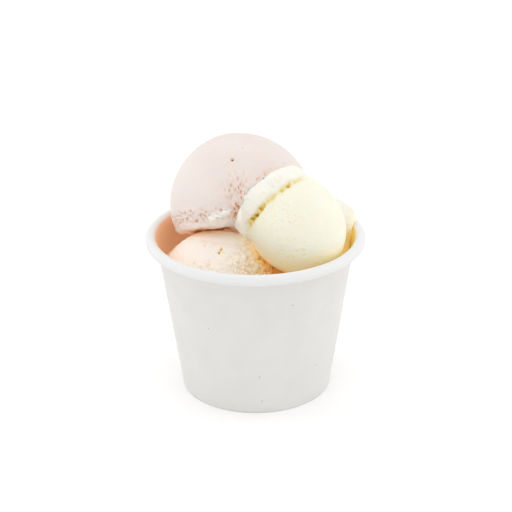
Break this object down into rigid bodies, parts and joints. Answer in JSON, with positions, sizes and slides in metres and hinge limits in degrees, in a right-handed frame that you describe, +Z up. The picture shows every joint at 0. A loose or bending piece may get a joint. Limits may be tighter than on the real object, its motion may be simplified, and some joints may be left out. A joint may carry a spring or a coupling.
{
  "type": "gelato cup",
  "caption": "White paper cup with a rolled rim, heaped with round scoops of pale gelato: pink on top, yellow leaning in front, peach and cream below.",
  "frame": {"origin": "centre of the foot ring, on the surface that the cup stands on", "axes": "+Z up along the cup's axis, -Y towards the side shown, +X to its right"},
  "size_m": [0.09, 0.09, 0.1043],
  "materials": {
    "board": "white coated board, satin",
    "pink_gelato": "pale pink gelato, soft satin, pitted at its collar",
    "yellow_gelato": "pale yellow gelato, soft satin",
    "peach_gelato": "pale peach gelato, soft satin, torn and grainy at one side",
    "cream_gelato": "pale cream gelato, soft satin"
  },
  "bodies": {
    "root": {"cup_wall": "board", "cup_base": "board", "scoop_pink": "pink_gelato", "scoop_yellow": "yellow_gelato", "scoop_peach": "peach_gelato", "scoop_cream": "cream_gelato"}
  },
  "joints": []
}
